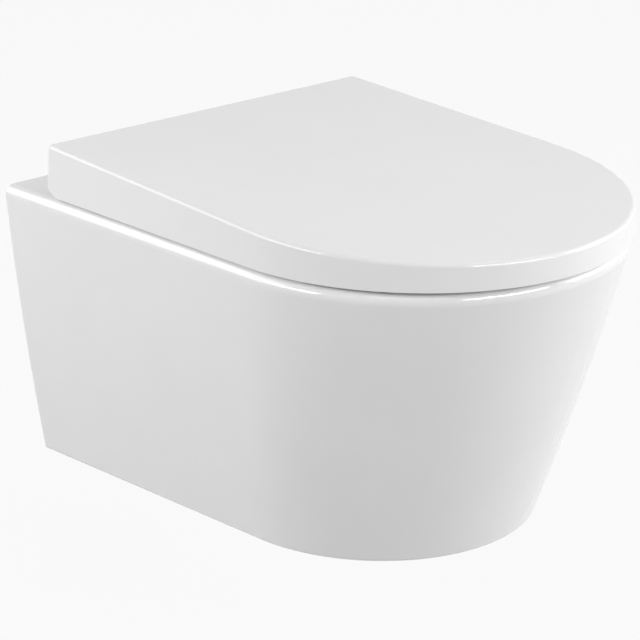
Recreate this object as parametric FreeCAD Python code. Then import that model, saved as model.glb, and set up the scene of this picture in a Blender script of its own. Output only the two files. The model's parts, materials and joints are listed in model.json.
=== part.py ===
"""A wall hung toilet: ceramic pan, wrap-over lid, seat ring, soft-close quick-release hinges and concealed
wall brackets.  The pan is cast in pieces that are stuck together before firing: shell, rim, basin, trapway,
outlet spigot, inlet boss and flush channel.

Frame: millimetres, +Z up, +X to the right seen from the front, wall plane at Y = 0, the pan reaches
towards -Y.  The origin is the middle of the two wall studs on the wall plane.  A depth is measured
down from the rim plane, a rise is measured up from it.
"""

import FreeCAD, Part
import math
import os

V = FreeCAD.Vector
os.makedirs("parts", exist_ok=True)

# ---------------------------------------------------------------- pan, outside
rim_z = 80.0                 # rim plane above the stud line
pan_height = 257.0           # rim plane to underside
rim_length = 497.0           # wall to front, at the rim
rim_wall_half = 186.0        # half width at the wall, at the rim
rim_nose_half = 183.0        # half width where the rounded front starts, at the rim
rim_nose = 184.0             # depth of the rounded front, at the rim
foot_length = 415.0          # the same four sizes at the underside
foot_wall_half = 154.0
foot_nose_half = 139.5
foot_nose = 145.0
side_bulge = 0.33            # how far the side profile bows outward
front_bulge = 0.13           # the same for the front profile
rim_edge_radius = 9.0        # rounding of the rim's outer edge
foot_edge_radius = 4.0
outside_levels = 5           # outline sections used for the outside

# ---------------------------------------------------------------- pan, walls and hollow
shell_wall = 11.0
deck_thickness = 15.0
floor_thickness = 11.0
wall_panel = 12.0            # thickness of the panel against the wall
panel_depth = 118.0          # the panel ends here and the back is open below it
back_lip = 4.0               # step that the shell keeps around the open back

# ---------------------------------------------------------------- pan, basin
mouth_half = 132.0           # the opening in the rim
mouth_front = 468.0          # distances from the wall
mouth_back = 146.0
mouth_edge_radius = 7.0
ledge_depth = 40.0           # open flush ledge below the rim
ledge_width = 13.0
ledge_edge_radius = 5.0
basin_wall = 10.0
egg_front_share = 0.5        # share of an egg outline's length that its front half-ellipse takes
egg_back_share = 0.3
water_depth = 145.0          # rim plane to the standing water's surface
sump_foot = 14.0             # sump's floor above the underside
sump_depth = pan_height - sump_foot
# below the ledge: depth, half width, front and back distances from the wall
upper_basin = (86.0, 106.0, 438.0, 164.0)
water_line = (water_depth, 76.0, 374.0, 178.0)
lower_basin = (196.0, 50.0, 318.0, 192.0)
sump = (sump_depth, 34.0, 284.0, 206.0)

# ---------------------------------------------------------------- pan, trap and connections
trap_radius = 27.0
trap_wall = 9.0
trap_start = 250.0           # distances from the wall
trap_rise = 172.0
trap_crown_front = 146.0
trap_bend = 38.0             # bend radius of its centreline
trap_tightness = 0.95        # share of the fall to the outlet that its two bends take up
trap_run = 4.0               # straight run from the last bend to the spigot
trap_step = 2.0              # the trap's lowest line above the sump's floor
pipe_spacing = 135.0         # outlet axis below the inlet axis
outlet_bore = 43.0
outlet_radius = 51.0
outlet_length = 36.0
outlet_collar_radius = 47.0  # the trap's end collar, which closes the spigot's inner end
outlet_collar_wall = 6.0
outlet_setback = 2.0         # spigot's end behind the wall plane
sleeve_room = 8.0            # clear space that the shell leaves around the spigot
inlet_depth = 45.0           # inlet axis below the rim
inlet_bore = 27.5
inlet_length = 60.0
inlet_wall = 10.0
flush_half = 44.0            # flush channel through the basin's back wall
flush_top_depth = 20.0
flush_height = 21.0
flush_wall = 8.0
flush_start = 44.0

# ---------------------------------------------------------------- lid
lid_gap = 1.6                # lid's lower edge above the rim
lid_half = 180.0
lid_back = 51.5              # lid's back face from the wall
lid_front = 499.0
lid_nose = 185.0
lid_rise_back = 46.5         # lid's top above the rim, at its back and front
lid_rise_front = 22.5
lid_draft = 1.8              # the sides lean in by this much over the lid's height
lid_top_radius = 3.5
lid_heel_radius = 18.0       # rounding of the back lower edge, which swings past the deck
lid_corner_radius = 4.5
lid_skirt = 4.5
lid_top_wall = 5.0
lid_inner_radius = 2.0       # roundings inside the lid, at its top and its back corners
lid_inner_corner = 3.0

# ---------------------------------------------------------------- seat
seat_low = 4.0               # underside above the rim
seat_inset = 2.0             # clearance between the seat's outline and the lid's skirt
seat_back = 91.0             # distance from the wall
seat_rise_back = 26.0        # top above the rim
seat_rise_front = 14.5
seat_hole_half = 112.0
seat_hole_front = 434.0
seat_hole_back = 172.0
seat_edge_radius = 5.0
seat_hole_radius = 8.0
seat_arm_overlap = 6.0       # how far the hinge arms reach into the ring

# ---------------------------------------------------------------- hinges
hinge_half = 77.5            # half of the 155 mm spacing
hinge_back = 68.0            # hinge holes from the wall
axis_rise = 22.0             # hinge axis above the rim
knuckle_radius = 10.4
knuckle_length = 40.0
knuckle_gap = 0.5            # between a hinge body and the knuckle beside it
seat_web_low = 6.0           # the web from seat to knuckle reaches this far below the axis
lid_web_half = 8.0
body_half = 15.0             # half width of a hinge body
body_radius = 10.0
body_front = 14.0            # hinge body's front and back faces from its axis
body_back = 12.0
body_edge_radius = 1.5
axle_radius = 4.0
axle_reach = 13.0            # axle beyond each side of the hinge body
axle_flat = 0.8              # depth of the flats that drive the dampers
damper_radius = 7.5
damper_length = 37.0
bush_length = 16.0
running = 0.05               # radial clearance of a turning fit
sliding = 0.2                # clearance of a sliding or loose fit
notch_clearance = 0.6        # between a hinge body's corners and the lid that swings past
notch_rise = 17.0            # the lid's notches end this far above the axis

# ---------------------------------------------------------------- quick-release posts
deck_hole_radius = 8.0
flange_radius = 13.5
flange_height = 3.0
gasket_height = 1.0
post_radius = 5.0
post_rise = 15.0             # top above the rim
post_chamfer = 1.0
groove_depth = 0.8
groove_rise = 9.8            # middle of the groove above the rim
groove_height = 2.2
shank_radius = 5.0
socket_flats = 5.0
socket_deep = 4.5
bush_wall_gap = 0.1

# ---------------------------------------------------------------- release buttons and clips
button_half = 7.0
button_height = 8.0
button_head = 2.0
button_proud = 2.3
button_travel = 3.0
wedge_half = 3.4             # the wedge that spreads the clip's legs
wedge_tip_half = 1.6
wedge_length = 3.9
clip_wire = 0.8              # wire radius
clip_bend_back = 2.0         # centre of the clip's bend behind the post's axis
clip_knee = 5.5              # where the legs turn inward, in front of the post's axis
clip_tip = 9.0
clip_tip_half = 3.3
clip_knee_radius = 2.5

# ---------------------------------------------------------------- wall brackets
stud_half = 90.0             # half of the 180 mm stud spacing
stud_hole_radius = 6.5
plate_thickness = 6.0
plate_low = -22.0
plate_outer = 110.0
arm_thickness = 16.0
arm_half = 14.0
arm_front = 84.0             # arm's end from the wall
rib_thickness = 5.0
rib_reach = 58.0
window_clearance = 2.0
stud_nut_flats = 19.0
stud_nut_height = 10.0
stud_nut_bore = 6.0
stud_washer_radius = 12.0
stud_washer_height = 2.5
clamp_nut_flats = 17.0
clamp_nut_height = 8.0
clamp_end = 4.0              # shank beyond its nut

# ---------------------------------------------------------------- buffers
seat_buffer_length = 30.0
seat_buffer_width = 14.0
# places of buffers along the middle of what they land on: degrees about the front, distance behind it
seat_buffer_spots = ((0.0, 121.0), (33.0, 0.0))
lid_buffer_radius = 7.0
lid_buffer_spots = ((0.0, 99.0), (44.0, 0.0))
buffer_sink = 1.5            # how deep a buffer sits in its pocket
buffer_rest = 0.2            # gap that a buffer keeps from what it lands on

overshoot = 20.0             # cutting tools reach this far past what they cut

# ---------------------------------------------------------------- places worked out from the sizes
outlet_depth = inlet_depth + pipe_spacing
trap_drop = outlet_depth - water_depth + trap_radius
trap_turn = math.acos(1 - trap_tightness * trap_drop / (2 * trap_bend))
trap_fall = outlet_length + trap_run + trap_bend * math.tan(trap_turn / 2)
trap_crown_back = trap_fall + trap_drop / math.tan(trap_turn)
deck_low = rim_z - deck_thickness
axis_z = rim_z + axis_rise
groove_z = rim_z + groove_rise
flange_top = rim_z + gasket_height + flange_height
body_low_drop = axis_z - flange_top
inner_end = hinge_half - body_half
outer_end = hinge_half + body_half
arm_low = deck_low - arm_thickness
clamp_low = arm_low - clamp_nut_height
notch_radius = math.hypot(max(body_front, body_back), body_low_drop) + notch_clearance
axle_length = 2 * (body_half + axle_reach)
button_pocket = button_head - button_proud + button_travel + sliding


def depth_z(depth):
    """Height in the part's frame of a depth below the rim."""
    return rim_z - depth


def lerp(a, b, share):
    return a + (b - a) * share


def box(x0, x1, y0, y1, z0, z1):
    return Part.makeBox(x1 - x0, y1 - y0, z1 - z0, V(x0, y0, z0))


def rod(radius, length, x, y, z, direction):
    return Part.makeCylinder(radius, length, V(x, y, z), direction)


def upright(radius, x, y, z0, z1):
    return rod(radius, z1 - z0, x, y, z0, V(0, 0, 1))


def crosswise(radius, x0, x1, y, z):
    return rod(radius, x1 - x0, x0, y, z, V(1, 0, 0))


def fore_and_aft(radius, x, z, y0, y1):
    return rod(radius, y1 - y0, x, y0, z, V(0, 1, 0))


def prism(points, direction):
    """A straight prism on a polygon."""
    return Part.Face(Part.makePolygon(points + points[:1])).extrude(direction)


def hexagon(flats, x, y, z0, z1):
    """An upright hexagonal prism of the given width across flats."""
    radius = flats / math.sqrt(3)
    corners = [math.radians(60 * i) for i in range(6)]
    points = [V(x + radius * math.cos(a), y + radius * math.sin(a), z0) for a in corners]
    return prism(points, V(0, 0, z1 - z0))


def fuse(first, *others):
    return first.multiFuse(list(others)).removeSplitter()


def mirrored(shape):
    return shape.mirror(V(0, 0, 0), V(1, 0, 0))


def both_sides(shape):
    return Part.makeCompound([mirrored(shape), shape])


def before(shape, y):
    """The part of shape in front of the plane at y."""
    b = shape.BoundBox
    m = overshoot
    return shape.common(box(b.XMin - m, b.XMax + m, b.YMin - m, y, b.ZMin - m, b.ZMax + m))


def edges_between(shape, low, high, max_y=None, min_y=None):
    """The shape's edges that lie between two heights, and between two Y values if given."""
    found = []
    for edge in shape.Edges:
        b = edge.BoundBox
        inside = b.ZMin > low - 0.01 and b.ZMax < high + 0.01
        if max_y is not None:
            inside = inside and b.YMax < max_y + 0.01
        if min_y is not None:
            inside = inside and b.YMin > min_y - 0.01
        if inside:
            found.append(edge)
    return found


def stretched(edges, factor, shift_y, z):
    """A wire from edges drawn about the origin, stretched along Y, then moved."""
    matrix = FreeCAD.Matrix()
    matrix.A22 = factor
    matrix.A24 = shift_y
    matrix.A34 = z
    return Part.Wire([e.transformGeometry(matrix) for e in edges])


def d_outline(wall_half, nose_half, length, nose, z, back=0.0, past_back=0.0):
    """A D-shaped wire: a straight back, two sides tangent to a half-elliptical nose."""
    factor = nose / nose_half
    centre_y = -(length - nose)
    corner = V(wall_half, (-back - centre_y) / factor, 0)
    tangent = math.atan2(corner.y, corner.x) - math.acos(min(1.0, nose_half / corner.Length))
    touch = V(nose_half * math.cos(tangent), nose_half * math.sin(tangent), 0)
    side = (corner - touch).normalize()
    corner = corner + side * (past_back / factor / side.y)
    left_corner, left_touch = V(-corner.x, corner.y, 0), V(-touch.x, touch.y, 0)
    edges = [
        Part.LineSegment(left_corner, corner).toShape(),
        Part.LineSegment(corner, touch).toShape(),
        Part.Arc(touch, V(0, -nose_half, 0), left_touch).toShape(),
        Part.LineSegment(left_touch, left_corner).toShape(),
    ]
    return stretched(edges, factor, centre_y, z)


def egg_outline(half, front, back, z):
    """A wire of a front and a back half-ellipse joined by two straight sides."""
    length = front - back
    front_deep, back_deep = length * egg_front_share, length * egg_back_share
    front_y, back_y = -front + front_deep, -back - back_deep
    nose = Part.Arc(V(half, 0, 0), V(0, -half, 0), V(-half, 0, 0)).toShape()
    heel = Part.Arc(V(-half, 0, 0), V(0, half, 0), V(half, 0, 0)).toShape()
    edges = list(stretched([nose], front_deep / half, front_y, z).Edges)
    edges.append(Part.LineSegment(V(-half, front_y, z), V(-half, back_y, z)).toShape())
    edges += stretched([heel], back_deep / half, back_y, z).Edges
    edges.append(Part.LineSegment(V(half, back_y, z), V(half, front_y, z)).toShape())
    return Part.Wire(edges)


def egg_block(half, front, back, low, high):
    return Part.Face(egg_outline(half, front, back, low)).extrude(V(0, 0, high - low))


def rounded_hole(half, front, back, top, radius):
    """What an egg-shaped hole with a rounded upper edge takes out of the material just below top."""
    m = 2 * radius
    plate = box(-half - m, half + m, -front - m, -back + m, top - m, top)
    pierced = plate.cut(egg_block(half, front, back, top - m - 1, top + 1))
    rim = [e for e in edges_between(pierced, top, top) if abs(e.CenterOfMass.x) < half + 1
           and -front - 1 < e.CenterOfMass.y < -back + 1]
    return plate.cut(pierced.makeFillet(radius, rim))


def rounded_path(corners, radii):
    """Straight runs through the corners, joined by tangent arcs of the given radii."""
    edges = []
    here = corners[0]
    for i, radius in enumerate(radii, 1):
        arriving = (corners[i] - corners[i - 1]).normalize()
        leaving = (corners[i + 1] - corners[i]).normalize()
        turn = arriving.getAngle(leaving)
        reach = radius * math.tan(turn / 2)
        start, end = corners[i] - arriving * reach, corners[i] + leaving * reach
        inward = (leaving - arriving).normalize()
        middle = corners[i] + inward * (radius / math.cos(turn / 2) - radius)
        edges.append(Part.LineSegment(here, start).toShape())
        edges.append(Part.Arc(start, middle, end).toShape())
        here = end
    edges.append(Part.LineSegment(here, corners[-1]).toShape())
    return Part.Wire(edges)


def tube_along(path, radius):
    """A round solid that follows a path of straight runs and arcs."""
    pieces = []
    for edge in path.OrderedEdges:
        first, last = edge.FirstParameter, edge.LastParameter
        if edge.Orientation == "Reversed":
            first, last = last, first
        start, end = edge.valueAt(first), edge.valueAt(last)
        curve = edge.Curve
        if curve.TypeId == "Part::GeomLine":
            pieces.append(rod(radius, (end - start).Length, start.x, start.y, start.z, end - start))
            continue
        spoke = start - curve.Center
        turn = spoke.getAngle(end - curve.Center)
        axis = spoke.cross(edge.valueAt((first + last) / 2) - curve.Center).normalize()
        disc = Part.Face(Part.Wire(Part.Circle(start, axis.cross(spoke), radius).toShape()))
        pieces.append(disc.revolve(curve.Center, axis, math.degrees(turn)))
    return fuse(*pieces)


# ================================================================ pan
def pan_section(depth, inset):
    """The pan's outline at a depth below the rim, moved inward by inset and run past the wall."""
    share = depth / pan_height
    side = (1 - side_bulge) * share + side_bulge * share ** 2
    front = (1 - front_bulge) * share + front_bulge * share ** 2
    return d_outline(
        lerp(rim_wall_half, foot_wall_half, side) - inset,
        lerp(rim_nose_half, foot_nose_half, side) - inset,
        lerp(rim_length, foot_length, front) - inset,
        lerp(rim_nose, foot_nose, front) - inset,
        depth_z(depth),
        past_back=overshoot,
    )


def pan_block(top_depth, low_depth, inset):
    """The solid between two depths, bounded by the pan's outline moved inward."""
    steps = outside_levels - 1
    depths = [lerp(top_depth, low_depth, i / steps) for i in range(outside_levels)]
    return Part.makeLoft([pan_section(d, inset) for d in depths], True, False)


def pan_outside():
    """The outer form with its rounded rim and underside edges."""
    block = before(pan_block(0.0, pan_height, 0.0), 0.0)
    for radius, z in ((rim_edge_radius, rim_z), (foot_edge_radius, depth_z(pan_height))):
        rounded = [e for e in edges_between(block, z, z) if e.BoundBox.YMin < -0.01]
        block = block.makeFillet(radius, rounded)
    return block


def pan_hollow():
    """The space between shell, deck, floor and wall panel, open at the back below the panel."""
    floor_depth = pan_height - floor_thickness
    space = before(pan_block(deck_thickness, floor_depth, shell_wall), -wall_panel)
    back = pan_block(panel_depth, floor_depth - back_lip, shell_wall + back_lip)
    b = back.BoundBox
    back = back.common(box(b.XMin, b.XMax, -wall_panel - overshoot, overshoot, b.ZMin, b.ZMax))
    return space.fuse(back)


def ledge_outline():
    """Half width, front and back of the basin where it leaves the ledge."""
    return mouth_half - ledge_width, mouth_front - ledge_width, mouth_back + ledge_width


def basin_block(grow):
    """The basin below its ledge, moved outward by grow."""
    wires = []
    levels = ((ledge_depth, *ledge_outline()), upper_basin, water_line, lower_basin, sump)
    for depth, half, front, back in levels:
        depth += grow if depth == sump_depth else 0.0
        wires.append(egg_outline(half + grow, front + grow, back - grow, depth_z(depth)))
    return Part.makeLoft(wires, True, False)


def mouth_block(grow, high, low_depth):
    """The opening in the rim, moved outward by grow."""
    return egg_block(mouth_half + grow, mouth_front + grow, mouth_back - grow, depth_z(low_depth), high)


def trap_path():
    """Centreline of the water trap, from the sump over the weir to the outlet spigot."""
    low, high = depth_z(sump_depth - trap_step - trap_radius), depth_z(water_depth - trap_radius)
    outlet = depth_z(outlet_depth)
    corners = [
        V(0, -trap_start, low),
        V(0, -trap_rise, low),
        V(0, -trap_crown_front, high),
        V(0, -trap_crown_back, high),
        V(0, -trap_fall, outlet),
        V(0, -outlet_length, outlet),
    ]
    return rounded_path(corners, [trap_bend] * 4)


def flush_channel(grow, front):
    """The channel from the inlet to the basin, moved outward by grow, and ending at front."""
    top, low = depth_z(flush_top_depth), depth_z(flush_top_depth + flush_height)
    half = flush_half + grow
    return box(-half, half, -front, -flush_start + grow, low - grow, top + grow)


def inlet_block():
    """The square boss around the inlet, from the wall plane inward."""
    half = inlet_bore + inlet_wall
    return box(-half, half, -inlet_length - inlet_wall, 0, depth_z(inlet_depth) - half, deck_low)


def bracket_window():
    """Where a wall bracket stands in the wall panel."""
    c = window_clearance
    inner, outer = hinge_half - arm_half - c, plate_outer + c
    return box(inner, outer, -wall_panel - 1, 1, plate_low - c, deck_low)


def rim_ring():
    """The wall around the mouth, from the deck down to the ledge's underside."""
    return mouth_block(basin_wall, deck_low, ledge_depth + basin_wall)


def spigot_space():
    """Where the outlet spigot and its rubber sleeve stand in the open back."""
    front = -outlet_length - outlet_collar_wall - sleeve_room
    return fore_and_aft(outlet_radius + sleeve_room, 0, depth_z(outlet_depth), front, 1)


def make_shell():
    """The outer form with its deck, floor and wall panel."""
    window = bracket_window()
    cuts = [
        pan_hollow(),
        mouth_block(0.0, rim_z + 1, ledge_depth),
        rounded_hole(mouth_half, mouth_front, mouth_back, rim_z, mouth_edge_radius),
        inlet_block(),
        spigot_space(),
        window,
        mirrored(window),
    ]
    for side in (-1, 1):
        cuts.append(upright(deck_hole_radius, side * hinge_half, -hinge_back, deck_low - 1, rim_z + 1))
    shell = pan_outside()
    for cut in cuts:
        shell = shell.cut(cut)
    return shell


def make_rim():
    """The wall around the mouth below the deck, with the flush ledge at its foot."""
    ledge_half, ledge_front, ledge_back = ledge_outline()
    cuts = [
        mouth_block(0.0, rim_z, ledge_depth),
        rounded_hole(ledge_half, ledge_front, ledge_back, depth_z(ledge_depth), ledge_edge_radius),
        basin_block(0.0),
        flush_channel(0.0, mouth_back + ledge_width),
    ]
    rim = rim_ring().common(pan_hollow())
    for cut in cuts:
        rim = rim.cut(cut)
    return rim


def make_basin():
    """The bowl and sump below the rim, pierced by the trap's entry."""
    bowl = basin_block(basin_wall).common(pan_hollow()).cut(rim_ring())
    return bowl.cut(basin_block(0.0)).cut(tube_along(trap_path(), trap_radius))


def make_trapway():
    """The water trap, with a collar that closes the outlet spigot's inner end."""
    start = -outlet_length - outlet_collar_wall
    collar = fore_and_aft(outlet_collar_radius, 0, depth_z(outlet_depth), start, -outlet_length)
    tube = fuse(tube_along(trap_path(), trap_radius + trap_wall), collar)
    tube = tube.common(pan_hollow()).cut(basin_block(basin_wall))
    return tube.cut(tube_along(trap_path(), trap_radius))


def make_spigot():
    """The outlet spigot, a plain pipe."""
    outlet_z = depth_z(outlet_depth)
    pipe = fore_and_aft(outlet_radius, 0, outlet_z, -outlet_length, -outlet_setback)
    return pipe.cut(fore_and_aft(outlet_bore, 0, outlet_z, -outlet_length - 1, 1))


def flush_castings():
    """The boss around the inlet, and the channel that leads the flush from it to the ledge."""
    channel = flush_channel(flush_wall, mouth_back).common(pan_hollow())
    whole = fuse(inlet_block(), channel).cut(rim_ring())
    whole = whole.cut(flush_channel(0.0, mouth_back + ledge_width))
    whole = whole.cut(fore_and_aft(inlet_bore, 0, depth_z(inlet_depth), -inlet_length, 1))
    front = before(whole, -inlet_length)
    return whole.cut(front), front


# ================================================================ lid
def sloped_block(inset, back, low, rise_back, rise_front, draft):
    """A D-shaped block under a plane that falls from the lid's back to its front."""
    high = rim_z + lid_rise_back + overshoot
    wires = []
    for z in (low, high):
        lean = draft * (z - rim_z - lid_gap) / (lid_rise_back - lid_gap)
        half, front, nose = (size - inset - lean for size in (lid_half, lid_front, lid_nose))
        wires.append(d_outline(half, half, front, nose, z, back=back + lean))
    block = Part.makeLoft(wires, True, True)
    front_y, back_y = -lid_front - overshoot, -lid_back + overshoot
    top_front = rim_z + plane_rise(rise_back, rise_front, front_y)
    top_back = rim_z + plane_rise(rise_back, rise_front, back_y)
    roof = high + overshoot
    wide = lid_half + overshoot
    corners = ((front_y, top_front), (back_y, top_back), (back_y, roof), (front_y, roof))
    return block.cut(prism([V(-wide, y, z) for y, z in corners], V(2 * wide, 0, 0)))


def plane_rise(rise_back, rise_front, y):
    """Rise at y of a plane that falls from the lid's back to its front."""
    return lerp(rise_back, rise_front, (-y - lid_back) / (lid_front - lid_back))


def round_top(block, top_radius, corner_radius, back):
    """Rounds a sloped block's two upright back corners and the edges of its top."""
    corners = []
    for edge in block.Edges:
        b = edge.BoundBox
        if b.YMin > -back - corner_radius and b.ZLength > b.XLength + b.YLength:
            corners.append(edge)
    block = block.makeFillet(corner_radius, corners)
    top = max(block.Faces, key=lambda face: face.CenterOfMass.z)
    return block.makeFillet(top_radius, top.Edges)


def hinge_notch():
    """The space in the lid that lets it swing past one hinge body."""
    space = crosswise(notch_radius, inner_end - knuckle_gap, outer_end + knuckle_gap, -hinge_back, axis_z)
    return space.common(box(0, 2 * hinge_half, -2 * hinge_back, 0, 0, axis_z + notch_rise))


def heel_cut():
    """What is taken off the lid's back lower edge to round it."""
    low, centre_y = rim_z + lid_gap, -lid_back - lid_heel_radius
    wide = lid_half + overshoot
    block = box(-wide, wide, centre_y, -lid_back + overshoot, low - overshoot, low + lid_heel_radius)
    return block.cut(crosswise(lid_heel_radius, -wide, wide, centre_y, low + lid_heel_radius))


def knuckle(start, end):
    return crosswise(knuckle_radius, start, end, -hinge_back, axis_z)


def make_lid():
    low = rim_z + lid_gap
    shell = sloped_block(0.0, lid_back, low, lid_rise_back, lid_rise_front, lid_draft)
    shell = round_top(shell, lid_top_radius, lid_corner_radius, lid_back)
    inner = sloped_block(lid_skirt, lid_back + lid_skirt, low - overshoot, lid_rise_back - lid_top_wall,
                         lid_rise_front - lid_top_wall, lid_draft)
    inner = round_top(inner, lid_inner_radius, lid_inner_corner, lid_back + lid_skirt)
    shell = shell.cut(inner)
    start, end = outer_end + knuckle_gap, outer_end + knuckle_gap + knuckle_length
    roof = rim_z + plane_rise(lid_rise_back, lid_rise_front, -hinge_back) - lid_top_wall / 2
    web = box(start, end, -hinge_back - lid_web_half, -hinge_back + lid_web_half, axis_z, roof)
    ears = fuse(knuckle(start, end), web)
    lid = fuse(shell, ears, mirrored(ears))
    bores = [
        crosswise(damper_radius, start - 1, start + damper_length, -hinge_back, axis_z),
        crosswise(damper_radius, -start - bush_length, -start + 1, -hinge_back, axis_z),
    ]
    notch = hinge_notch()
    pockets = [lid_buffer(x, y) for x, y in lid_buffer_places()]
    return lid.cut(fuse(notch, mirrored(notch))).cut(heel_cut()).cut(fuse(*bores)).cut(fuse(*pockets))


def midway(half, front, back, angle, behind):
    """The point midway between an egg-shaped hole and the seat's edge, at an angle about the front."""
    inset = lid_skirt + seat_inset
    nose = (front - back) * egg_front_share
    wide = (half + lid_half - inset) / 2
    deep = (nose + lid_nose - inset) / 2
    centre_y = -(front - nose + lid_front - lid_nose) / 2
    turn = math.radians(angle)
    return wide * math.cos(turn), centre_y - deep * math.sin(turn) + behind


def lid_buffer_places():
    places = [midway(seat_hole_half, seat_hole_front, seat_hole_back, *spot) for spot in lid_buffer_spots]
    return [(side * x, y) for x, y in places for side in (-1, 1)]


def lid_buffer(x, y):
    """A round buffer from the lid's underside down to just above the seat."""
    high = plane_rise(lid_rise_back, lid_rise_front, y) - lid_top_wall + buffer_sink
    low = seat_top_rise(y + lid_buffer_radius) + buffer_rest
    return upright(lid_buffer_radius, x, y, rim_z + low, rim_z + high)


# ================================================================ seat
def seat_top_rise(y):
    return plane_rise(seat_rise_back, seat_rise_front, y)


def make_seat():
    inset = lid_skirt + seat_inset
    ring = sloped_block(inset, seat_back, rim_z + seat_low, seat_rise_back, seat_rise_front, 0.0)
    ring = round_top(ring, seat_edge_radius, seat_edge_radius, seat_back)
    hole = egg_block(seat_hole_half, seat_hole_front, seat_hole_back, rim_z, rim_z + seat_rise_back + 1)
    ring = ring.cut(hole)
    inner_edges = edges_between(ring, rim_z + seat_low + 1, rim_z + seat_rise_back,
                                max_y=-seat_hole_back, min_y=-seat_hole_front)
    ring = ring.makeFillet(seat_hole_radius, inner_edges)
    end, start = inner_end - knuckle_gap, inner_end - knuckle_gap - knuckle_length
    web_top = rim_z + plane_rise(seat_rise_back, seat_rise_front, -seat_back) - 1
    web = box(start, end, -seat_back - seat_arm_overlap, -hinge_back, axis_z - seat_web_low, web_top)
    arms = fuse(knuckle(start, end), web)
    ring = fuse(ring, arms, mirrored(arms))
    bores = [
        crosswise(damper_radius, -end - 1, -end + damper_length, -hinge_back, axis_z),
        crosswise(damper_radius, end - bush_length, end + 1, -hinge_back, axis_z),
    ]
    pockets = [seat_buffer(*spot) for spot in seat_buffer_places()]
    return ring.cut(fuse(*bores)).cut(fuse(*pockets))


def seat_buffer_places():
    """Place and turn of each buffer under the seat, which lies along the pan's rim."""
    places = []
    for angle, behind in seat_buffer_spots:
        x, y = midway(mouth_half, mouth_front, mouth_back, angle, behind)
        places += [(side * x, y, -side * angle) for side in (-1, 1)]
    return places


def seat_buffer(x, y, turn):
    """A long rounded buffer under the seat."""
    low, high = rim_z + buffer_rest, rim_z + seat_low + buffer_sink
    half, radius = seat_buffer_length / 2 - seat_buffer_width / 2, seat_buffer_width / 2
    pad = fuse(
        box(-radius, radius, -half, half, low, high),
        upright(radius, 0, -half, low, high),
        upright(radius, 0, half, low, high),
    )
    pad.rotate(V(0, 0, 0), V(0, 0, 1), turn)
    pad.translate(V(x, y, 0))
    return pad


# ================================================================ hinges, drawn on the right side
def hinge_body():
    """A body that drops over its post and carries the axle."""
    y_front, y_back = -hinge_back - body_front, -hinge_back + body_back
    block = box(inner_end, outer_end, y_front, y_back, flange_top, axis_z)
    edges = [e for e in block.Edges if e.BoundBox.ZLength > 1]
    block = block.makeFillet(body_edge_radius, edges)
    barrel = crosswise(body_radius, inner_end, outer_end, -hinge_back, axis_z)
    body = fuse(block, barrel)
    slot_half = clip_wire + sliding
    leg = post_radius - groove_depth + 2 * clip_wire + running
    slot_front = -hinge_back - clip_tip - 1
    cuts = [
        upright(post_radius + sliding, hinge_half, -hinge_back, flange_top - 1, rim_z + post_rise + sliding),
        box(hinge_half - leg - sliding, hinge_half + leg + sliding, slot_front, y_back + 1,
            groove_z - slot_half, groove_z + slot_half),
        crosswise(axle_radius, inner_end - 1, outer_end + 1, -hinge_back, axis_z),
        button_space(y_front),
    ]
    return body.cut(fuse(*cuts))


def button_space(y_front):
    """The pocket for a button's head and the way in for its wedge."""
    head_half, head_high = button_half + sliding, button_height / 2 + sliding
    wedge, thick = wedge_half + sliding, clip_wire + sliding
    return fuse(
        box(hinge_half - head_half, hinge_half + head_half, y_front - 1, y_front + button_pocket,
            groove_z - head_high, groove_z + head_high),
        box(hinge_half - wedge, hinge_half + wedge, y_front, -hinge_back - clip_tip,
            groove_z - thick, groove_z + thick),
    )


def release_button():
    """A push button with the wedge that spreads the retaining clip."""
    front = -hinge_back - body_front - button_proud
    back = front + button_head
    head = box(hinge_half - button_half, hinge_half + button_half, front, back,
               groove_z - button_height / 2, groove_z + button_height / 2)
    head = head.makeFillet(button_head / 2, [e for e in head.Edges if e.BoundBox.YMax < front + 0.01])
    low = groove_z - clip_wire
    outline = [
        V(hinge_half - wedge_half, back, low),
        V(hinge_half + wedge_half, back, low),
        V(hinge_half + wedge_half, back + wedge_length / 2, low),
        V(hinge_half + wedge_tip_half, back + wedge_length, low),
        V(hinge_half - wedge_tip_half, back + wedge_length, low),
        V(hinge_half - wedge_half, back + wedge_length / 2, low),
    ]
    return fuse(head, prism(outline, V(0, 0, 2 * clip_wire)))


def retaining_clip():
    """A bent spring wire whose legs lie in the post's groove."""
    leg = post_radius - groove_depth + clip_wire + running
    bend_y = -hinge_back + clip_bend_back
    knee_y, tip_y = -hinge_back - clip_knee, -hinge_back - clip_tip
    side = rounded_path(
        [V(leg, bend_y, groove_z), V(leg, knee_y, groove_z), V(clip_tip_half, tip_y, groove_z)],
        [clip_knee_radius],
    )
    bend = Part.Arc(V(-leg, bend_y, groove_z), V(0, bend_y + leg, groove_z), V(leg, bend_y, groove_z))
    wire = Part.Wire(Part.sortEdges(side.Edges + mirrored(side).Edges + [bend.toShape()])[0])
    clip = tube_along(wire, clip_wire)
    clip.translate(V(hinge_half, 0, 0))
    return clip


def hinge_axle():
    """A pin through the hinge body with chamfered ends and a flat on each."""
    start, end = hinge_half - axle_length / 2, hinge_half + axle_length / 2
    pin = crosswise(axle_radius, start, end, -hinge_back, axis_z)
    pin = pin.makeChamfer(axle_flat / 2, [e for e in pin.Edges if e.BoundBox.XLength < 0.01])
    y_front, y_back = -hinge_back - axle_radius, -hinge_back + axle_radius
    high = axis_z + axle_radius
    for x0, x1 in ((start - 1, inner_end - knuckle_gap), (outer_end + knuckle_gap, end + 1)):
        pin = pin.cut(box(x0, x1, y_front, y_back, high - axle_flat, high))
    return pin


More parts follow.
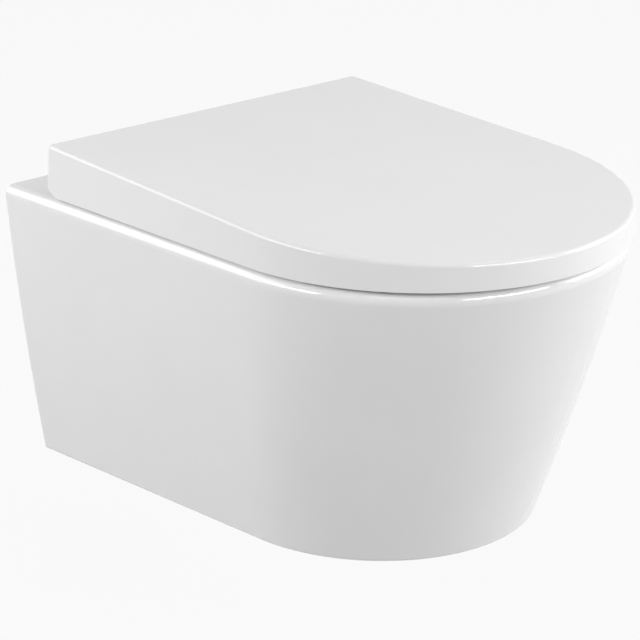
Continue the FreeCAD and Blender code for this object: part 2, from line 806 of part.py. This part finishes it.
def sleeve(start, direction, length, bore_length):
    """A round bush or damper on the hinge axis with a blind bore for an axle's end."""
    low, high = sorted((start, start + direction * length))
    bore_low, bore_high = sorted((start - direction, start + direction * bore_length))
    body = crosswise(damper_radius, low, high, -hinge_back, axis_z)
    return body.cut(crosswise(axle_radius + running, bore_low, bore_high, -hinge_back, axis_z))


def hinge_post():
    """Flange, grooved post and threaded shank in one piece, driven by a hexagon socket."""
    top = rim_z + post_rise
    post = upright(post_radius, hinge_half, -hinge_back, flange_top - 1, top)
    post = post.makeChamfer(post_chamfer, [e for e in post.Edges if e.BoundBox.ZMin > top - 0.01])
    groove = upright(post_radius + 1, hinge_half, -hinge_back, groove_z - groove_height / 2,
                     groove_z + groove_height / 2)
    groove = groove.cut(upright(post_radius - groove_depth, hinge_half, -hinge_back, flange_top, top))
    flange = upright(flange_radius, hinge_half, -hinge_back, rim_z + gasket_height, flange_top)
    top_edges = [e for e in flange.Edges if e.BoundBox.ZMin > flange_top - 0.01]
    flange = flange.makeFillet(flange_height / 3, top_edges)
    shank = upright(shank_radius, hinge_half, -hinge_back, clamp_low - clamp_end, rim_z + gasket_height + 1)
    socket = hexagon(socket_flats, hinge_half, -hinge_back, top - socket_deep, top + 1)
    return fuse(post.cut(groove), flange, shank).cut(socket)


def ring(outer, inner, low, high):
    """A washer about a hinge post."""
    body = upright(outer, hinge_half, -hinge_back, low, high)
    return body.cut(upright(inner, hinge_half, -hinge_back, low - 1, high + 1))


def clamp_nut():
    body = hexagon(clamp_nut_flats, hinge_half, -hinge_back, clamp_low, arm_low)
    return body.cut(upright(shank_radius, hinge_half, -hinge_back, clamp_low - 1, arm_low + 1))


# ================================================================ wall brackets, drawn on the right side
def wall_bracket():
    """A plate on the wall stud, an arm under the deck and a rib between them."""
    inner, outer = hinge_half - arm_half, hinge_half + arm_half
    plate = box(inner, plate_outer, -plate_thickness, 0, plate_low, deck_low)
    arm = box(inner, outer, -arm_front, 0, arm_low, deck_low)
    round_edges = [e for e in arm.Edges if e.BoundBox.ZLength > 1 and e.BoundBox.YMax < -plate_thickness]
    arm = arm.makeFillet(arm_half / 2, round_edges)
    corners = ((0, plate_low), (-plate_thickness, plate_low), (-rib_reach, arm_low), (0, arm_low))
    rib = prism([V(inner, y, z) for y, z in corners], V(rib_thickness, 0, 0))
    bracket = fuse(plate, arm, rib)
    holes = fuse(
        fore_and_aft(stud_hole_radius, stud_half, 0, -plate_thickness - 1, 1),
        upright(shank_radius + sliding, hinge_half, -hinge_back, arm_low - 1, deck_low + 1),
    )
    return bracket.cut(holes)


def stud_washer():
    low, high = -plate_thickness - stud_washer_height, -plate_thickness
    body = fore_and_aft(stud_washer_radius, stud_half, 0, low, high)
    return body.cut(fore_and_aft(stud_hole_radius, stud_half, 0, low - 1, high + 1))


def stud_nut():
    high = -plate_thickness - stud_washer_height
    nut = hexagon(stud_nut_flats, 0, 0, 0, stud_nut_height)
    nut = nut.cut(upright(stud_nut_bore, 0, 0, -1, stud_nut_height + 1))
    nut.rotate(V(0, 0, 0), V(1, 0, 0), 90)
    nut.translate(V(stud_half, high, 0))
    return nut


# ================================================================ nodes
def nodes():
    lid_start, seat_start = outer_end + knuckle_gap, inner_end - knuckle_gap
    inlet_boss, channel = flush_castings()
    made = {
        "pan_shell": make_shell(),
        "rim": make_rim(),
        "basin": make_basin(),
        "trapway": make_trapway(),
        "outlet_spigot": make_spigot(),
        "inlet_boss": inlet_boss,
        "flush_channel": channel,
        "lid": make_lid(),
        "seat_ring": make_seat(),
        "seat_buffers": Part.makeCompound([seat_buffer(*spot) for spot in seat_buffer_places()]),
        "lid_buffers": Part.makeCompound([lid_buffer(*place) for place in lid_buffer_places()]),
        "seat_damper": sleeve(-seat_start, 1, damper_length, axle_reach),
        "seat_bush": sleeve(seat_start, -1, bush_length, axle_reach),
        "lid_damper": sleeve(lid_start, 1, damper_length, axle_reach),
        "lid_bush": sleeve(-lid_start, -1, bush_length, axle_reach),
        "clamp_nuts": both_sides(clamp_nut()),
        "stud_nuts": both_sides(stud_nut()),
        "stud_washers": both_sides(stud_washer()),
    }
    pairs = {
        "hinge_body": hinge_body(),
        "hinge_axle": hinge_axle(),
        "release_button": release_button(),
        "retaining_clip": retaining_clip(),
        "hinge_post": hinge_post(),
        "hinge_gasket": ring(flange_radius, shank_radius + sliding, rim_z, rim_z + gasket_height),
        "centering_bush": ring(deck_hole_radius - bush_wall_gap, shank_radius + sliding, deck_low, rim_z),
        "wall_bracket": wall_bracket(),
    }
    for name, shape in pairs.items():
        made[name + "_right"] = shape
        made[name + "_left"] = mirrored(shape)
    return made


for node, solid in nodes().items():
    solid.exportStep(os.path.join("parts", node + ".step"))
    print(node, len(solid.Solids), solid.isValid(), round(solid.Volume / 1000, 2), "cm3")
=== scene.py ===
"""The looks of a wall hung toilet: glazed pan, gloss plastic lid and seat, soft studio light."""

import json
import math

import bpy
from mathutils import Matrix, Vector


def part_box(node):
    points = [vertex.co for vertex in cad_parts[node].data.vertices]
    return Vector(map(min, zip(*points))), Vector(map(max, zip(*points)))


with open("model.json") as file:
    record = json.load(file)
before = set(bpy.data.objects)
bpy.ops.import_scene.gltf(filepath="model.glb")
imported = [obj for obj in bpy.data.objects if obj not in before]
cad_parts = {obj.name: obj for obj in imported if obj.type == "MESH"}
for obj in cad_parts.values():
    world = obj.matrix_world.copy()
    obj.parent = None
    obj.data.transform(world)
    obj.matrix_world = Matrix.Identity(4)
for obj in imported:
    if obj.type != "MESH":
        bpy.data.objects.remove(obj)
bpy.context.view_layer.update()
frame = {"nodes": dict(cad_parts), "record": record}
nodes = frame["nodes"]
record = frame["record"]

# ---------------------------------------------------------------- camera
VIEW_AZIMUTH = math.radians(-42.569)   # 0 looks along +Y
VIEW_ELEVATION = math.radians(19.957)
VIEW_DISTANCE = 1.782142
VIEW_TARGET = Vector((-0.182993, -0.40109, 0.062226))
LENS = 133.07                          # millimetres on a 36 mm sensor


def make_camera():
    data = bpy.data.cameras.new("camera")
    data.lens = LENS
    data.sensor_width = 36.0
    data.clip_start, data.clip_end = 0.01, 100.0
    camera = bpy.data.objects.new("camera", data)
    bpy.context.scene.collection.objects.link(camera)
    flat = math.cos(VIEW_ELEVATION)
    away = Vector((math.sin(VIEW_AZIMUTH) * flat, -math.cos(VIEW_AZIMUTH) * flat, math.sin(VIEW_ELEVATION)))
    camera.location = VIEW_TARGET + VIEW_DISTANCE * away
    camera.rotation_euler = (-away).to_track_quat("-Z", "Y").to_euler()
    bpy.context.scene.camera = camera


# ---------------------------------------------------------------- node helpers
class Graph:
    """A material's node tree with short calls for what the materials below share."""

    def __init__(self, name):
        self.material = bpy.data.materials.new(name)
        self.material.use_nodes = True
        self.tree = self.material.node_tree
        self.shader = self.tree.nodes["Principled BSDF"]

    def node(self, kind, **settings):
        made = self.tree.nodes.new(kind)
        for key, value in settings.items():
            if key in made.inputs:
                made.inputs[key].default_value = value
            else:
                setattr(made, key, value)
        return made

    def link(self, source, target):
        self.tree.links.new(source, target)

    def set(self, **values):
        for key, value in values.items():
            self.shader.inputs[key.replace("_", " ")].default_value = value

    def place(self):
        return self.node("ShaderNodeTexCoord").outputs["Object"]

    def noise(self, scale, detail=4.0, roughness=0.5):
        made = self.node("ShaderNodeTexNoise")
        made.inputs["Scale"].default_value = scale
        made.inputs["Detail"].default_value = detail
        made.inputs["Roughness"].default_value = roughness
        self.link(self.place(), made.inputs["Vector"])
        return made.outputs["Fac"]

    def ramp(self, factor, low, high, start=0.3, end=0.7):
        """Two greys or colours spread over part of a factor's range."""
        made = self.node("ShaderNodeValToRGB")
        made.color_ramp.elements[0].position = start
        made.color_ramp.elements[1].position = end
        made.color_ramp.elements[0].color = rgba(low)
        made.color_ramp.elements[1].color = rgba(high)
        self.link(factor, made.inputs["Fac"])
        return made.outputs["Color"]

    def bump(self, height, strength, distance):
        made = self.node("ShaderNodeBump")
        made.inputs["Strength"].default_value = strength
        made.inputs["Distance"].default_value = distance
        self.link(height, made.inputs["Height"])
        self.link(made.outputs["Normal"], self.shader.inputs["Normal"])


def rgba(value):
    return (value, value, value, 1.0) if isinstance(value, float) else (*value, 1.0)


# ---------------------------------------------------------------- materials
def glaze():
    """White sanitary glaze: even, glossy, with a faint orange peel."""
    g = Graph("glaze")
    whites = g.ramp(g.noise(14.0), (0.845, 0.846, 0.844), (0.865, 0.866, 0.866))
    g.link(whites, g.shader.inputs["Base Color"])
    g.link(g.ramp(g.noise(60.0), 0.06, 0.09), g.shader.inputs["Roughness"])
    g.set(Coat_Weight=0.5, Coat_Roughness=0.03, Coat_IOR=1.5)
    g.bump(g.noise(55.0, detail=2.0), 0.06, 0.0004)
    return g.material


def gloss_plastic(name, low, high, roughness):
    """Moulded white plastic with a polished skin."""
    g = Graph(name)
    g.link(g.ramp(g.noise(9.0), low, high), g.shader.inputs["Base Color"])
    g.link(g.ramp(g.noise(120.0), roughness, roughness + 0.04), g.shader.inputs["Roughness"])
    g.bump(g.noise(180.0, detail=3.0), 0.04, 0.0002)
    return g.material


def matte_plastic(name, low, high):
    g = Graph(name)
    g.link(g.ramp(g.noise(60.0), low, high), g.shader.inputs["Base Color"])
    g.link(g.ramp(g.noise(300.0), 0.42, 0.55), g.shader.inputs["Roughness"])
    g.bump(g.noise(1500.0, detail=2.0), 0.15, 0.00008)
    return g.material


def rubber(name, low, high):
    g = Graph(name)
    g.link(g.ramp(g.noise(80.0), low, high), g.shader.inputs["Base Color"])
    g.link(g.ramp(g.noise(400.0), 0.6, 0.8), g.shader.inputs["Roughness"])
    g.set(Specular_IOR_Level=0.3)
    g.bump(g.noise(2500.0, detail=2.0), 0.2, 0.00006)
    return g.material


def metal(name, low, high, rough_low, rough_high, grain):
    """Bare or plated metal, with its grain stretched along Z or none."""
    g = Graph(name)
    mapping = g.node("ShaderNodeMapping")
    mapping.inputs["Scale"].default_value = (1.0, 1.0, grain)
    g.link(g.place(), mapping.inputs["Vector"])
    streaks = g.node("ShaderNodeTexNoise")
    streaks.inputs["Scale"].default_value = 220.0
    streaks.inputs["Detail"].default_value = 5.0
    g.link(mapping.outputs["Vector"], streaks.inputs["Vector"])
    g.link(g.ramp(streaks.outputs["Fac"], low, high), g.shader.inputs["Base Color"])
    g.link(g.ramp(streaks.outputs["Fac"], rough_low, rough_high), g.shader.inputs["Roughness"])
    g.set(Metallic=1.0)
    g.bump(streaks.outputs["Fac"], 0.1, 0.00005)
    return g.material


def make_materials():
    return {
        "glaze": glaze(),
        "lid_plastic": gloss_plastic("lid_plastic", (0.85, 0.85, 0.848), (0.865, 0.865, 0.865), 0.10),
        "seat_plastic": gloss_plastic("seat_plastic", (0.84, 0.84, 0.838), (0.855, 0.855, 0.855), 0.12),
        "hinge_plastic": gloss_plastic("hinge_plastic", (0.80, 0.80, 0.80), (0.83, 0.83, 0.83), 0.25),
        "button_plastic": gloss_plastic("button_plastic", (0.43, 0.45, 0.47), (0.46, 0.48, 0.50), 0.30),
        "buffer_rubber": rubber("buffer_rubber", (0.58, 0.59, 0.60), (0.65, 0.66, 0.67)),
        "gasket_rubber": rubber("gasket_rubber", (0.03, 0.03, 0.032), (0.05, 0.05, 0.052)),
        "damper_plastic": matte_plastic("damper_plastic", (0.10, 0.105, 0.115), (0.14, 0.145, 0.155)),
        "bush_plastic": matte_plastic("bush_plastic", (0.70, 0.69, 0.65), (0.77, 0.76, 0.72)),
        "post_chrome": metal("post_chrome", (0.76, 0.77, 0.78), (0.80, 0.81, 0.82), 0.04, 0.10, 1.0),
        "axle_steel": metal("axle_steel", (0.55, 0.55, 0.56), (0.66, 0.66, 0.67), 0.22, 0.36, 0.1),
        "spring_steel": metal("spring_steel", (0.42, 0.42, 0.44), (0.54, 0.54, 0.56), 0.25, 0.38, 1.0),
        "zinc_steel": metal("zinc_steel", (0.60, 0.62, 0.64), (0.74, 0.75, 0.76), 0.28, 0.45, 0.3),
    }


def nodes_of(slot):
    return [part["node"] for part in record["subparts"] if part["material_slot"] == slot]


def dress_nodes(materials):
    for part in record["subparts"]:
        mesh = nodes[part["node"]].data
        mesh.materials.clear()
        mesh.materials.append(materials[part["material_slot"]])


# ---------------------------------------------------------------- floor, world and lamps
FLOOR_DROP = 0.40                # rim above the floor, as such a pan is hung
FLOOR_SIZE = 40.0
FLOOR_GREYS = 0.44, 0.46
FLOOR_ROUGHNESS = 0.6
FLOOR_WHITE_SHARE = 0.92         # the rest of what the view sees is the shaded floor, with the pan's shadow
WORLD_LIGHT = 0.15
LAMP_AIM = Vector((0.0, -0.25, 0.0))


def seen_white(tree):
    """1 for the rays that are to find a white surround: the view's own, mirrored and transmitted ones."""
    path = tree.nodes.new("ShaderNodeLightPath")
    seen = path.outputs["Is Camera Ray"]
    for kind in ("Is Glossy Ray", "Is Transmission Ray"):
        either = tree.nodes.new("ShaderNodeMath")
        either.operation = "MAXIMUM"
        tree.links.new(seen, either.inputs[0])
        tree.links.new(path.outputs[kind], either.inputs[1])
        seen = either.outputs[0]
    return seen


def make_floor():
    size = FLOOR_SIZE / 2
    top = max(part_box(node)[1].z for node in nodes_of("glaze"))
    corners = [(-size, -size, 0), (size, -size, 0), (size, size, 0), (-size, size, 0)]
    mesh = bpy.data.meshes.new("floor")
    mesh.from_pydata(corners, [], [(0, 1, 2, 3)])
    floor = bpy.data.objects.new("floor", mesh)
    floor.location.z = top - FLOOR_DROP
    bpy.context.scene.collection.objects.link(floor)
    g = Graph("floor")
    g.link(g.ramp(g.noise(3.0), *FLOOR_GREYS), g.shader.inputs["Base Color"])
    g.set(Roughness=FLOOR_ROUGHNESS)
    glow = g.node("ShaderNodeEmission")
    mix = g.node("ShaderNodeMixShader")
    share = g.node("ShaderNodeMath", operation="MULTIPLY")
    share.inputs[1].default_value = FLOOR_WHITE_SHARE
    g.link(seen_white(g.tree), share.inputs[0])
    g.link(share.outputs[0], mix.inputs["Fac"])
    g.link(g.shader.outputs["BSDF"], mix.inputs[1])
    g.link(glow.outputs["Emission"], mix.inputs[2])
    g.link(mix.outputs["Shader"], g.tree.nodes["Material Output"].inputs["Surface"])
    mesh.materials.append(g.material)


def make_world():
    world = bpy.data.worlds.new("studio")
    world.use_nodes = True
    tree = world.node_tree
    background = tree.nodes["Background"]
    background.inputs["Strength"].default_value = WORLD_LIGHT
    white = tree.nodes.new("ShaderNodeBackground")
    mix = tree.nodes.new("ShaderNodeMixShader")
    background.inputs["Color"].default_value = (1.0, 1.0, 1.0, 1.0)
    white.inputs["Color"].default_value = (1.0, 1.0, 1.0, 1.0)
    tree.links.new(seen_white(tree), mix.inputs["Fac"])
    tree.links.new(background.outputs[0], mix.inputs[1])
    tree.links.new(white.outputs[0], mix.inputs[2])
    tree.links.new(mix.outputs[0], tree.nodes["World Output"].inputs["Surface"])
    bpy.context.scene.world = world


def lamp(name, azimuth, elevation, distance, width, height, power):
    """A softbox aimed at the pan's middle; azimuth 0 is in front, 90 is at the right."""
    data = bpy.data.lights.new(name, "AREA")
    data.shape = "RECTANGLE"
    data.size, data.size_y, data.energy = width, height, power
    light = bpy.data.objects.new(name, data)
    bpy.context.scene.collection.objects.link(light)
    turn, rise = math.radians(azimuth), math.radians(elevation)
    away = Vector((math.sin(turn) * math.cos(rise), -math.cos(turn) * math.cos(rise), math.sin(rise)))
    light.location = LAMP_AIM + distance * away
    light.rotation_euler = (-away).to_track_quat("-Z", "Y").to_euler()


def make_lamps():
    lamp("left_strip", -103.0, 24.0, 2.2, 1.05, 0.5, 14.5)
    lamp("front_strip", 5.0, 24.0, 2.2, 1.6, 0.5, 21.0)
    lamp("left_box", -140.0, 26.0, 2.6, 2.0, 1.6, 27.0)
    lamp("right_box", 62.0, 26.0, 2.6, 2.0, 1.6, 37.0)
    lamp("fill_box", -42.0, 50.0, 2.4, 1.4, 1.0, 5.0)


make_camera()
dress_nodes(make_materials())
make_floor()
make_world()
make_lamps()

scene = bpy.context.scene
scene.view_settings.view_transform = "Standard"
